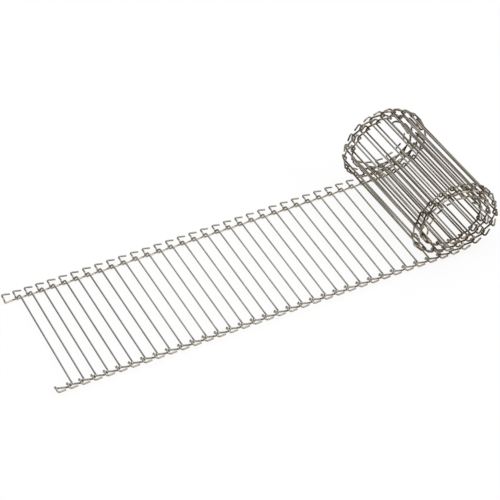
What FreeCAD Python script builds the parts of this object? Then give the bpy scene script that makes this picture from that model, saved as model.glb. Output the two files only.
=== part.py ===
"""Wire conveyor belt: bent wire strands hooked to each other, one stretch laid flat and the rest rolled up.

Millimetres and degrees. +X runs along the belt towards the roll, +Y across it and +Z up.
The origin is at the middle of the belt's outline, on the surface that it lies on.
"""
import FreeCAD
import Part
import math
import os
from FreeCAD import Vector

# The wire and the belt
WIRE_DIAMETER = 1.83
PITCH = 12.7  # from one straight run to the next
BELT_WIDTH = 146.0  # over the hooks at both edges

# The hook at each end of a strand
KNOT_OPENING = 1.97  # clear room between a straight run and the end leg hooked round it
LEG_GAP = 0.87  # clear room between the inner legs of two neighbours, measured across the belt
HINGE_GAP = 0.4  # play under a straight run, where the next strand's inner leg passes
DIP_DEPTH = 0.97  # how much deeper the inner leg lies under the next strand's end leg
DIP_LEAD = 0.15  # how far the dip lies inside the line of that end leg
CREST_GAP = 1.0  # room under the end leg where the belt is curled the most
CREST_REACH = 1.8  # from the inner leg's corner out to the end leg's highest place
END_LEG_FALL = 0.9  # how far the end leg falls from there to its outer corner
HOOK_DEPTH = 5.85  # from the straight run's bend out to the outer corner
OUTER_LEG_LENGTH = 8.3
OUTER_LEG_INSET = 1.45  # how far the cut tip turns back in towards the belt
OUTER_LEG_DROP = 0.9  # how far the cut tip lies below the outer corner

# Inside radii of the bends
RUN_INSIDE_RADIUS = 1.0  # where the straight run turns into the inner leg
DIP_INSIDE_RADIUS = 2.1  # at the inner leg's lowest place
BEND_INSIDE_RADIUS = 0.7  # where the inner leg turns into the end leg
CREST_INSIDE_RADIUS = 1.1  # at the end leg's highest place
CORNER_INSIDE_RADIUS = 1.2  # where the end leg turns into the outer leg
BEND_SHARE = 0.48  # the most of a leg that one bend may take

# The stretch that lies flat
FLAT_STRANDS = 31
SLACK_STRANDS = 6  # strands at the free end that have slid together
SLACK = 1.0  # how much the last of them has slid
SLACK_SKEW = 1.0  # degrees that the last of them has turned out of square

# The roll: its outer turn has sagged, so it is flat below and widest low down
ROLL_TURNS = 2.5
ROLL_LEAD = 23.0  # flat belt under the roll, from the last flat strand to where the roll starts
ROLL_SKEW = 2.0  # degrees that the roll is wound out of square
SKEW_LEAD = 3  # how many strands before the last flat one its skew starts
SKEW_STRANDS = 7  # strands over which it grows to the full
ROLL_HALF_WIDTH = 50.0
ROLL_HEIGHT = 83.0
ROLL_WAIST = 31.0  # height of the outer turn's widest level
CORE_WAIST = 41.0  # height of the innermost turn's widest level
SAG_TURNS = 2.0  # turns over which the one becomes the other
TIGHTEST_RADIUS = 21.5  # of the tightest bend in the roll
ROLL_LEAN = 0.06  # sideways shift of the outer turn for each millimetre above its waist
SIDE_SPACING = 8.8  # from turn to turn at the sides
TURN_CLEARANCE = 0.3  # from turn to turn above and below
SEARCH_STEPS = 60  # halvings in the search for each strand's place in the roll

# Worked out from the sizes above
WIRE_RADIUS = WIRE_DIAMETER / 2
KNOT_LENGTH = WIRE_DIAMETER + KNOT_OPENING
HOOK_LENGTH = PITCH + KNOT_LENGTH
LEG_SLOPE = (WIRE_DIAMETER + LEG_GAP) / PITCH
LEG_HEIGHT = -(WIRE_DIAMETER + HINGE_GAP)
DIP_HEIGHT = LEG_HEIGHT - DIP_DEPTH
DIP_PLACE = KNOT_LENGTH - DIP_LEAD
LEG_CLIMB = DIP_DEPTH / (PITCH - DIP_PLACE)
CURL = 2 * math.asin(PITCH / 2 / TIGHTEST_RADIUS)
CREST_HEIGHT = (WIRE_DIAMETER + CREST_GAP + DIP_HEIGHT + KNOT_LENGTH * math.sin(CURL)) / math.cos(CURL)
TURN_SPACING = CREST_HEIGHT - DIP_HEIGHT + WIRE_DIAMETER + TURN_CLEARANCE


def hook_corners():
    """Sharp corners of one end of a strand, from the straight run to the cut tip, and the radius at each.

    The straight run lies on the Y axis. The hook reaches towards -X, and its end points to +Y.
    """
    corner_radius = CORNER_INSIDE_RADIUS + WIRE_RADIUS
    outer_turn = math.pi / 2 + math.atan2(OUTER_LEG_INSET, OUTER_LEG_LENGTH)
    corner_excess = corner_radius * (math.tan(outer_turn / 2) - 1)
    outer_y = BELT_WIDTH / 2 - WIRE_RADIUS + corner_excess
    bend_y = outer_y - HOOK_DEPTH
    inner_corner_y = bend_y - LEG_SLOPE * HOOK_LENGTH
    outer_height = CREST_HEIGHT - END_LEG_FALL
    bend = Vector(0, bend_y, 0)
    dip = Vector(-DIP_PLACE, bend_y - LEG_SLOPE * DIP_PLACE, DIP_HEIGHT)
    inner_corner = Vector(-HOOK_LENGTH, inner_corner_y, DIP_HEIGHT + LEG_CLIMB * (HOOK_LENGTH - DIP_PLACE))
    crest = Vector(-HOOK_LENGTH, inner_corner_y + CREST_REACH, CREST_HEIGHT)
    outer_corner = Vector(-HOOK_LENGTH, outer_y, outer_height)
    tip = Vector(OUTER_LEG_LENGTH - HOOK_LENGTH, outer_y - OUTER_LEG_INSET, outer_height - OUTER_LEG_DROP)
    inside_radii = [
        RUN_INSIDE_RADIUS,
        DIP_INSIDE_RADIUS,
        BEND_INSIDE_RADIUS,
        CREST_INSIDE_RADIUS,
        CORNER_INSIDE_RADIUS,
    ]
    radii = [inside + WIRE_RADIUS for inside in inside_radii]
    return [bend, dip, inner_corner, crest, outer_corner, tip], radii


def mirrored(point):
    """The same point at the belt's other edge."""
    return Vector(point.x, -point.y, point.z)


def bent_path(corners, radii):
    """A line through the corners with a tangent arc at each inner one."""
    edges = []
    start = corners[0]
    for before, corner, after, radius in zip(corners, corners[1:], corners[2:], radii):
        back = before - corner
        ahead = after - corner
        room = BEND_SHARE * min(back.Length, ahead.Length)
        back.normalize()
        ahead.normalize()
        half_angle = back.getAngle(ahead) / 2
        radius = min(radius, room * math.tan(half_angle))
        reach = radius / math.tan(half_angle)
        inwards = (back + ahead).normalize()
        arc_start = corner + back * reach
        arc_middle = corner + inwards * (radius / math.sin(half_angle) - radius)
        arc_end = corner + ahead * reach
        edges.append(Part.LineSegment(start, arc_start).toShape())
        edges.append(Part.Arc(arc_start, arc_middle, arc_end).toShape())
        start = arc_end
    edges.append(Part.LineSegment(start, corners[-1]).toShape())
    return Part.Wire(edges)


def strand():
    """One strand: a straight run with a hook at each end, bent from round wire."""
    hook, radii = hook_corners()
    corners = hook[::-1] + [mirrored(point) for point in hook]
    path = bent_path(corners, radii[::-1] + radii)
    section = Part.makeCircle(WIRE_RADIUS, corners[0], corners[1] - corners[0])
    return path.makePipe(Part.Face(Part.Wire([section])))


def roll_point(turn_angle, start):
    """A point of the rolled belt, by the angle turned since the flat stretch, as (x, z)."""
    if turn_angle <= 0:
        return start + turn_angle * ROLL_HALF_WIDTH, 0.0
    turns = turn_angle / (2 * math.pi)
    half_width = ROLL_HALF_WIDTH - SIDE_SPACING * turns
    outerness = max(0.0, 1 - turns / SAG_TURNS)
    waist = CORE_WAIST + (ROLL_WAIST - CORE_WAIST) * outerness
    rise = TURN_SPACING * turns
    if math.cos(turn_angle) > 0:
        half_height = waist - rise
    else:
        half_height = ROLL_HEIGHT - rise - waist
    z = waist - half_height * math.cos(turn_angle)
    x = start + half_width * math.sin(turn_angle) - ROLL_LEAN * outerness * (z - waist)
    return x, z


def next_turn_angle(turn_angle, start):
    """The angle at which the next strand's straight run lies one pitch further on."""
    here = roll_point(turn_angle, start)
    near = turn_angle
    far = turn_angle + math.pi / 2
    for _ in range(SEARCH_STEPS):
        middle = (near + far) / 2
        there = roll_point(middle, start)
        if math.dist(here, there) < PITCH:
            near = middle
        else:
            far = middle
    return near


def slackness(number):
    """1 for the strand at the free end, falling to 0 where the strands lie taut."""
    return max(0, SLACK_STRANDS - number) / SLACK_STRANDS


def skew(number):
    """Degrees that a strand is turned out of square, seen from above."""
    rolled = (number - FLAT_STRANDS + SKEW_LEAD) / SKEW_STRANDS
    return ROLL_SKEW * min(1, max(0, rolled)) - SLACK_SKEW * slackness(number)


def straight_run_places():
    """(x, z, turns) of each straight run, from the free end to the middle of the roll, before any skew."""
    places = []
    x = 0.0
    for number in range(FLAT_STRANDS):
        places.append((x, 0.0, 0.0))
        x += PITCH - SLACK * slackness(number)
    start = places[-1][0] + ROLL_LEAD
    turn_angle = next_turn_angle(-ROLL_LEAD / ROLL_HALF_WIDTH, start)
    while turn_angle < 2 * math.pi * ROLL_TURNS:
        x, z = roll_point(turn_angle, start)
        places.append((x, z, turn_angle / (2 * math.pi)))
        turn_angle = next_turn_angle(turn_angle, start)
    return places


def strand_placements():
    """(placement, turns) of each strand: its hook points back to the straight run before it."""
    placements = []
    middle = Vector(0, 0, 0)
    before_x = 0.0
    before_z = 0.0
    for number, (x, z, turns) in enumerate(straight_run_places()):
        slope = 0.0
        if number >= FLAT_STRANDS:
            slope = math.degrees(math.atan2(z - before_z, x - before_x))
        heading = math.radians((skew(number - 1) + skew(number)) / 2)
        middle += Vector(math.cos(heading), math.sin(heading), 0) * (x - before_x)
        middle.z = z
        curled = FreeCAD.Rotation(Vector(0, -1, 0), slope)
        skewed = FreeCAD.Rotation(Vector(0, 0, 1), skew(number))
        placements.append((FreeCAD.Placement(middle, skewed * curled), turns))
        before_x = x
        before_z = z
    return placements


def node_name(number, turns):
    """A node for each strand of the flat stretch and outer turn, and for each quarter of the inner turns."""
    if number < FLAT_STRANDS:
        return f"flat_strand_{number + 1:02d}"
    if turns < 1:
        return f"outer_turn_strand_{number - FLAT_STRANDS + 1:02d}"
    quarter = int(4 * (turns % 1)) + 1
    if turns < 2:
        return f"second_turn_quarter_{quarter}"
    return f"core_turn_quarter_{quarter}"


def build_nodes():
    """{node name: its strands}, with the origin at the bottom of the middle of the belt's outline."""
    one = strand()
    nodes = {}
    for number, (placement, turns) in enumerate(strand_placements()):
        piece = one.copy()
        piece.Placement = placement
        nodes.setdefault(node_name(number, turns), []).append(piece)
    pieces = [piece for group in nodes.values() for piece in group]
    boxes = [piece.optimalBoundingBox(False, False) for piece in pieces]
    middle_x = (min(box.XMin for box in boxes) + max(box.XMax for box in boxes)) / 2
    middle_y = (min(box.YMin for box in boxes) + max(box.YMax for box in boxes)) / 2
    bottom = min(box.ZMin for box in boxes)
    for piece in pieces:
        piece.translate(Vector(-middle_x, -middle_y, -bottom))
    return nodes


def main():
    os.makedirs("parts", exist_ok=True)
    for name, pieces in build_nodes().items():
        shape = pieces[0] if len(pieces) == 1 else Part.makeCompound(pieces)
        shape.exportStep(f"parts/{name}.step")


if __name__ == "__main__":
    main()
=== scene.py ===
"""Looks of the wire conveyor belt: drawn stainless wire on a white floor, seen as in the photograph."""
import math

import bpy
from mathutils import Matrix, Vector


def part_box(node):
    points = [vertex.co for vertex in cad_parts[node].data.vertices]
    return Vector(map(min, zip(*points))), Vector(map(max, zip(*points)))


# The photograph's camera, in the part's frame, metres and degrees
CAMERA_TARGET = (0.01035, 0.02536, 0.00273)
CAMERA_DISTANCE = 2.1607
CAMERA_AZIMUTH = -26.815
CAMERA_ELEVATION = 42.127
CAMERA_LENS = 158.4
SENSOR_WIDTH = 36.0

# Soft boxes: place, size in metres and power in watts
KEY_LIGHT = ((-0.7, 0.3, 2.4), 1.2, 6)
FILL_LIGHT = ((1.4, -1.2, 2.4), 1.6, 10)

# Brightness of the studio's walls and ceiling, by the sine of the angle above the floor
HORIZON_LEVEL = 0.8
WALL_LEVELS = [(0.06, 0.4), (0.14, 0.02), (0.5, 0.02), (0.66, 0.38), (0.82, 1.1)]
ZENITH_LEVEL = 2.1

# The dark front of the studio, by the direction's share across the belt
FRONT_FULL = -0.75
FRONT_END = -0.35
FRONT_LEVEL = 0.12

# A white panel at the right of the studio, by the direction's share along the belt
PANEL_EDGE = 0.15
PANEL_FULL = 0.45
PANEL_LEVEL = 1.0

FLOOR_SIZE = 12.0
FLOOR_COLOUR = (0.97, 0.97, 0.97)
FLOOR_EVENNESS = 0.9  # how much of the floor's brightness doesn't depend on the lamps

# Across the belt, from its middle: the straight runs end, then come the knots, then the outer legs
RUN_END = 0.0575
KNOT_MIDDLE = 0.065
KNOT_END = 0.0715
OUTER_LEG_START = 0.0685
OUTER_LEG_FULL = 0.0705

# Along the flat stretch: a knot with dirt and painted shade lies on the free end's side of each straight
# run
PITCH = 0.0127
SAMPLE_STRAND = "flat_strand_12"
KNOT_BEHIND = 0.00294  # from the far side of a straight run back to the middle of its knot
KNOT_REACH = 0.0026  # from there, either way, to where the dirt and painted shade begin to fade
KNOT_FADE = 0.0042  # and to where it is gone

# Along the belt and upwards: where the rolled-up part begins
ROLL_START = 0.15
ROLL_FULL = 0.172
FLAT_TOP = 0.009
ROLL_ABOVE = 0.018

# Along the belt: painted shade darkens the runs towards the free end, up to here
FREE_END_FULL = -0.15
FREE_END_STOP = -0.085

# The metal's colours, of its duller and its brighter patches
RUN_COLOURS = ((0.555, 0.537, 0.498), (0.64, 0.62, 0.578))
# The hooks are darker and warmer than the runs: painted shade of the overlapping wires
SHADED_HOOK_COLOURS = ((0.51, 0.468, 0.4), (0.59, 0.548, 0.478))

# What darkens the metal: its colour, and how much of it there is, or the least and most of it
# Painted shade on the runs at the free end: its colour and how much of it there is
FREE_END_SHADE_COLOUR = (0.1, 0.1, 0.098)
FREE_END_SHADE_SHARE = 0.33
# Painted shade on the outer legs of the flat stretch: its colour and how much of it there is
OUTER_LEG_SHADE_COLOUR = (0.12, 0.112, 0.1)
OUTER_LEG_SHADE_SHARE = 0.36
# Painted shade inside the roll, in patches: its colour and the least and most of it
ROLL_SHADE_COLOUR = (0.14, 0.09, 0.036)
ROLL_SHADE_SHARES = (0.12, 0.86)
# Dirt and painted shade in the knots: their colour and the least and most of them
KNOT_DIRT_AND_SHADE_COLOUR = (0.06, 0.046, 0.03)
KNOT_DIRT_AND_SHADE_SHARES = (0.15, 0.95)
DRAW_LINE_COLOUR = (0.2, 0.18, 0.15)
DRAW_LINE_SHARES = (0.0, 0.1)

# Dirt and painted shade in the knots of the flat stretch, and painted shade along its front edge, as a
# share of that in the roll's knots
FLAT_KNOT_DIRT_AND_SHADE = 0.4
# Painted shade along the front edge's knot band
FRONT_EDGE_SHADE = 0.8

# Roughness of the metal, how the fine grain changes it, and how much smoother it is in the roll
ROUGHNESS = (0.14, 0.22)
GRAIN_ROUGHNESS = (-0.02, 0.03)
ROLL_SMOOTHNESS = 0.05

# Noise patterns: cycles per metre along, across and above the belt, and the noise's detail
PATCHES = ((45, 45, 45), 3.0)
GRAIN = ((900, 900, 900), 2.0)
DRAW_LINES = ((5200, 60, 5200), 2.0)
# Patches of the painted shade in the roll
ROLL_SHADE_PATCHES = ((140, 9, 140), 1.0)

# Values of a noise between which a surface goes from one look to the other
PATCH_RANGE = (0.35, 0.65)
ROLL_SHADE_RANGE = (0.36, 0.64)
WIDE_RANGE = (0.3, 0.7)

BUMP_STRENGTH = 0.08
BUMP_HEIGHT = 0.00003

# Results of a value that fades out as it grows
FADE_OUT = (1.0, 0.0)

# Sockets of a colour mix node, by number because those of its other types have the same names
MIX_FIRST = 6
MIX_SECOND = 7
MIX_RESULT = 2

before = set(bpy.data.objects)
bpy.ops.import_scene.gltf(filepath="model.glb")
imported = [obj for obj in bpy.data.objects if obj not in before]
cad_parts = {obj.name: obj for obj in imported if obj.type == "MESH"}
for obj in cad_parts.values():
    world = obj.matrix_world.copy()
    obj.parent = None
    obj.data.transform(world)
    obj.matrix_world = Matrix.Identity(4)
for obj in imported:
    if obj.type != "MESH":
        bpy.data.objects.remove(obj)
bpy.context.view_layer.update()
highest_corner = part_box(SAMPLE_STRAND)[1]
knot_place = highest_corner[0] - KNOT_BEHIND


def new_material(name):
    """An empty node material, its node tree and its output."""
    material = bpy.data.materials.new(name)
    material.use_nodes = True
    tree = material.node_tree
    tree.nodes.clear()
    output = tree.nodes.new("ShaderNodeOutputMaterial")
    return material, tree, output


def math_node(tree, operation, *values):
    """The output of a math node on sockets or numbers."""
    node = tree.nodes.new("ShaderNodeMath")
    node.operation = operation
    for socket, value in zip(node.inputs, values):
        if isinstance(value, (int, float)):
            socket.default_value = value
        else:
            tree.links.new(value, socket)
    return node.outputs[0]


def noise(tree, place, cycles, detail):
    """A noise value over the place, with its cycles per metre along each axis."""
    mapping = tree.nodes.new("ShaderNodeMapping")
    mapping.inputs["Scale"].default_value = cycles
    tree.links.new(place, mapping.inputs["Vector"])
    node = tree.nodes.new("ShaderNodeTexNoise")
    node.inputs["Scale"].default_value = 1.0
    node.inputs["Detail"].default_value = detail
    tree.links.new(mapping.outputs["Vector"], node.inputs["Vector"])
    return node.outputs["Fac"]


def ease(tree, value, low, high, results=(0.0, 1.0)):
    """The value carried smoothly from the range between low and high to the range of the results."""
    node = tree.nodes.new("ShaderNodeMapRange")
    node.interpolation_type = "SMOOTHSTEP"
    node.inputs["From Min"].default_value = low
    node.inputs["From Max"].default_value = high
    node.inputs["To Min"].default_value = results[0]
    node.inputs["To Max"].default_value = results[1]
    tree.links.new(value, node.inputs["Value"])
    return node.outputs["Result"]


def mix_colour(tree, factor, first, second):
    """Two colours mixed by a factor socket. Each is a socket or a colour."""
    node = tree.nodes.new("ShaderNodeMix")
    node.data_type = "RGBA"
    tree.links.new(factor, node.inputs["Factor"])
    for number, value in ((MIX_FIRST, first), (MIX_SECOND, second)):
        if isinstance(value, tuple):
            node.inputs[number].default_value = (*value, 1)
        else:
            tree.links.new(value, node.inputs[number])
    return node.outputs[MIX_RESULT]


def wire_zones(tree, place):
    """How far a place belongs to each zone of the belt, from 0 to 1."""
    separate = tree.nodes.new("ShaderNodeSeparateXYZ")
    tree.links.new(place, separate.inputs["Vector"])
    along = separate.outputs["X"]
    above = separate.outputs["Z"]
    across = math_node(tree, "ABSOLUTE", separate.outputs["Y"])
    hook = ease(tree, across, RUN_END, KNOT_MIDDLE)
    inside = ease(tree, across, KNOT_MIDDLE, KNOT_END, FADE_OUT)
    further = ease(tree, along, ROLL_START, ROLL_FULL)
    higher = ease(tree, above, FLAT_TOP, ROLL_ABOVE)
    rolled = math_node(tree, "MAXIMUM", further, higher)
    flat = math_node(tree, "SUBTRACT", 1.0, rolled)
    from_knot = math_node(tree, "PINGPONG", math_node(tree, "SUBTRACT", along, knot_place), PITCH / 2)
    outer_leg = ease(tree, across, OUTER_LEG_START, OUTER_LEG_FULL)
    return {
        "hook": hook,
        "knot_band": math_node(tree, "MULTIPLY", hook, inside),
        "near_knot": ease(tree, from_knot, KNOT_REACH, KNOT_FADE, FADE_OUT),
        "front_edge": math_node(tree, "LESS_THAN", separate.outputs["Y"], 0.0),
        "flat_outer_leg": math_node(tree, "MULTIPLY", outer_leg, flat),
        "rolled": rolled,
        "free_end": ease(tree, along, FREE_END_FULL, FREE_END_STOP, FADE_OUT),
    }


def wire_patterns(tree, place):
    """The noise patterns that the wire's colour, roughness and bump share."""
    return {
        "patches": noise(tree, place, *PATCHES),
        "grain": noise(tree, place, *GRAIN),
        "draw_lines": noise(tree, place, *DRAW_LINES),
        "roll_shade": noise(tree, place, *ROLL_SHADE_PATCHES),
    }


def knot_dirt_and_shade(tree, zones, patterns):
    """Dirt and painted shade in the band of the knots: all through the roll, and on the flat stretch less
    of it at each knot, with painted shade all along its front edge.
    """
    flat_knots = math_node(tree, "MULTIPLY", zones["near_knot"], FLAT_KNOT_DIRT_AND_SHADE)
    # Painted shade: the front edge's knots are darker than the far edge's
    front_edge = math_node(tree, "MULTIPLY", zones["front_edge"], FRONT_EDGE_SHADE)
    on_flat = math_node(tree, "MAXIMUM", flat_knots, front_edge)
    most = math_node(tree, "MAXIMUM", on_flat, zones["rolled"])
    speckle = ease(tree, patterns["grain"], *WIDE_RANGE, KNOT_DIRT_AND_SHADE_SHARES)
    return math_node(tree, "MULTIPLY", math_node(tree, "MULTIPLY", zones["knot_band"], most), speckle)


def wire_colour(tree, zones, patterns):
    """Patchy metal with painted shade: darker at the free end, darker and warmer at the hooks, darker on
    the flat stretch's outer legs and in patches through the roll; with dirt and painted shade in the knots,
    and draw lines on it.
    """
    patch = ease(tree, patterns["patches"], *PATCH_RANGE)
    run_colour = mix_colour(tree, patch, *RUN_COLOURS)
    # Painted shade: the runs darken towards the free end
    free_end = math_node(tree, "MULTIPLY", zones["free_end"], FREE_END_SHADE_SHARE)
    run_colour = mix_colour(tree, free_end, run_colour, FREE_END_SHADE_COLOUR)
    # Painted shade: darker, warmer colours at the hooks
    shaded_hook_colour = mix_colour(tree, patch, *SHADED_HOOK_COLOURS)
    colour = mix_colour(tree, zones["hook"], run_colour, shaded_hook_colour)
    # Painted shade: darker outer legs on the flat stretch
    outer_leg = math_node(tree, "MULTIPLY", zones["flat_outer_leg"], OUTER_LEG_SHADE_SHARE)
    colour = mix_colour(tree, outer_leg, colour, OUTER_LEG_SHADE_COLOUR)
    # Painted shade in patches through the roll
    patchy_shade = ease(tree, patterns["roll_shade"], *ROLL_SHADE_RANGE, ROLL_SHADE_SHARES)
    roll_shade = math_node(tree, "MULTIPLY", zones["rolled"], patchy_shade)
    colour = mix_colour(tree, roll_shade, colour, ROLL_SHADE_COLOUR)
    # Dirt and painted shade in the knots
    colour = mix_colour(tree, knot_dirt_and_shade(tree, zones, patterns), colour, KNOT_DIRT_AND_SHADE_COLOUR)
    lines = ease(tree, patterns["draw_lines"], *WIDE_RANGE, DRAW_LINE_SHARES)
    return mix_colour(tree, lines, colour, DRAW_LINE_COLOUR)


def wire_roughness(tree, zones, patterns):
    """Duller patches and a fine grain, smoother in the roll."""
    metal = ease(tree, patterns["patches"], *WIDE_RANGE, ROUGHNESS)
    speckle = ease(tree, patterns["grain"], *WIDE_RANGE, GRAIN_ROUGHNESS)
    dry = math_node(tree, "ADD", metal, speckle)
    return math_node(tree, "SUBTRACT", dry, math_node(tree, "MULTIPLY", zones["rolled"], ROLL_SMOOTHNESS))


def wire_bump(tree, zones, patterns):
    """The relief of the draw lines on the runs and of the grain on the hooks."""
    run_share = math_node(tree, "SUBTRACT", 1.0, zones["hook"])
    run_height = math_node(tree, "MULTIPLY", patterns["draw_lines"], run_share)
    hook_height = math_node(tree, "MULTIPLY", patterns["grain"], zones["hook"])
    bump = tree.nodes.new("ShaderNodeBump")
    bump.inputs["Strength"].default_value = BUMP_STRENGTH
    bump.inputs["Distance"].default_value = BUMP_HEIGHT
    tree.links.new(math_node(tree, "ADD", run_height, hook_height), bump.inputs["Height"])
    return bump.outputs["Normal"]


def drawn_wire_material():
    """Plain drawn stainless wire, as it lies in the belt: with dirt and painted shade in the knots, and
    painted shade in the roll.
    """
    material, tree, output = new_material("drawn_stainless_wire")
    shader = tree.nodes.new("ShaderNodeBsdfPrincipled")
    shader.inputs["Metallic"].default_value = 1.0
    place = tree.nodes.new("ShaderNodeTexCoord").outputs["Object"]
    zones = wire_zones(tree, place)
    patterns = wire_patterns(tree, place)
    tree.links.new(wire_colour(tree, zones, patterns), shader.inputs["Base Color"])
    tree.links.new(wire_roughness(tree, zones, patterns), shader.inputs["Roughness"])
    tree.links.new(wire_bump(tree, zones, patterns), shader.inputs["Normal"])
    tree.links.new(shader.outputs["BSDF"], output.inputs["Surface"])
    return material


def floor_material():
    """A white matt floor that the camera and the metal see as evenly lit, with a faint shadow."""
    material, tree, output = new_material("white_floor")
    matt = tree.nodes.new("ShaderNodeBsdfDiffuse")
    matt.inputs["Color"].default_value = (*FLOOR_COLOUR, 1)
    glow = tree.nodes.new("ShaderNodeEmission")
    rays = tree.nodes.new("ShaderNodeLightPath")
    seen = math_node(tree, "MAXIMUM", rays.outputs["Is Camera Ray"], rays.outputs["Is Glossy Ray"])
    seen = math_node(tree, "MAXIMUM", seen, rays.outputs["Is Transmission Ray"])
    mix = tree.nodes.new("ShaderNodeMixShader")
    tree.links.new(math_node(tree, "MULTIPLY", seen, FLOOR_EVENNESS), mix.inputs["Fac"])
    tree.links.new(matt.outputs["BSDF"], mix.inputs[1])
    tree.links.new(glow.outputs["Emission"], mix.inputs[2])
    tree.links.new(mix.outputs["Shader"], output.inputs["Surface"])
    return material


def add_floor():
    """A large square floor at the height that the belt lies on."""
    half = FLOOR_SIZE / 2
    corners = [(-half, -half, 0), (half, -half, 0), (half, half, 0), (-half, half, 0)]
    mesh = bpy.data.meshes.new("floor")
    mesh.from_pydata(corners, [], [(0, 1, 2, 3)])
    mesh.materials.append(floor_material())
    floor = bpy.data.objects.new("floor", mesh)
    bpy.context.scene.collection.objects.link(floor)


def add_soft_box(name, place, size, power):
    """A square soft box that points at the object, in metres and watts."""
    data = bpy.data.lights.new(name, "AREA")
    data.size = size
    data.energy = power
    light = bpy.data.objects.new(name, data)
    light.location = place
    light.rotation_euler = (-Vector(place)).to_track_quat("-Z", "Y").to_euler()
    bpy.context.scene.collection.objects.link(light)


def grey(level):
    """A neutral colour of this brightness."""
    return level, level, level


def add_studio():
    """What the metal reflects: a pale horizon, dark walls and front, a bright ceiling and a white panel."""
    world = bpy.data.worlds.new("studio")
    world.use_nodes = True
    tree = world.node_tree
    direction = tree.nodes.new("ShaderNodeTexCoord").outputs["Generated"]
    separate = tree.nodes.new("ShaderNodeSeparateXYZ")
    tree.links.new(direction, separate.inputs["Vector"])
    ramp = tree.nodes.new("ShaderNodeValToRGB")
    stops = ramp.color_ramp.elements
    stops[0].color = (*grey(HORIZON_LEVEL), 1)
    stops[1].color = (*grey(ZENITH_LEVEL), 1)
    for height, level in WALL_LEVELS:
        stops.new(height).color = (*grey(level), 1)
    tree.links.new(separate.outputs["Z"], ramp.inputs["Fac"])
    behind_front = ease(tree, separate.outputs["Y"], FRONT_FULL, FRONT_END)
    colour = mix_colour(tree, behind_front, grey(FRONT_LEVEL), ramp.outputs["Color"])
    panel = ease(tree, separate.outputs["X"], PANEL_EDGE, PANEL_FULL)
    colour = mix_colour(tree, panel, colour, grey(PANEL_LEVEL))
    tree.links.new(colour, tree.nodes["Background"].inputs["Color"])
    bpy.context.scene.world = world


def add_camera():
    """The photograph's camera, on a line from its target by azimuth and elevation."""
    azimuth = math.radians(CAMERA_AZIMUTH)
    elevation = math.radians(CAMERA_ELEVATION)
    right = Vector((math.cos(azimuth), math.sin(azimuth), 0))
    back = Vector((
        math.sin(azimuth) * math.cos(elevation),
        -math.cos(azimuth) * math.cos(elevation),
        math.sin(elevation),
    ))
    turn = Matrix((right, back.cross(right), back)).transposed()
    data = bpy.data.cameras.new("camera")
    data.lens = CAMERA_LENS
    data.sensor_width = SENSOR_WIDTH
    camera = bpy.data.objects.new("camera", data)
    camera.matrix_world = Matrix.Translation(Vector(CAMERA_TARGET) + back * CAMERA_DISTANCE) @ turn.to_4x4()
    bpy.context.scene.collection.objects.link(camera)
    bpy.context.scene.camera = camera


wire = drawn_wire_material()
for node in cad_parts.values():
    node.data.materials.clear()
    node.data.materials.append(wire)

add_floor()
add_soft_box("key_light", *KEY_LIGHT)
add_soft_box("fill_light", *FILL_LIGHT)
add_studio()
add_camera()
bpy.context.scene.view_settings.view_transform = "Standard"
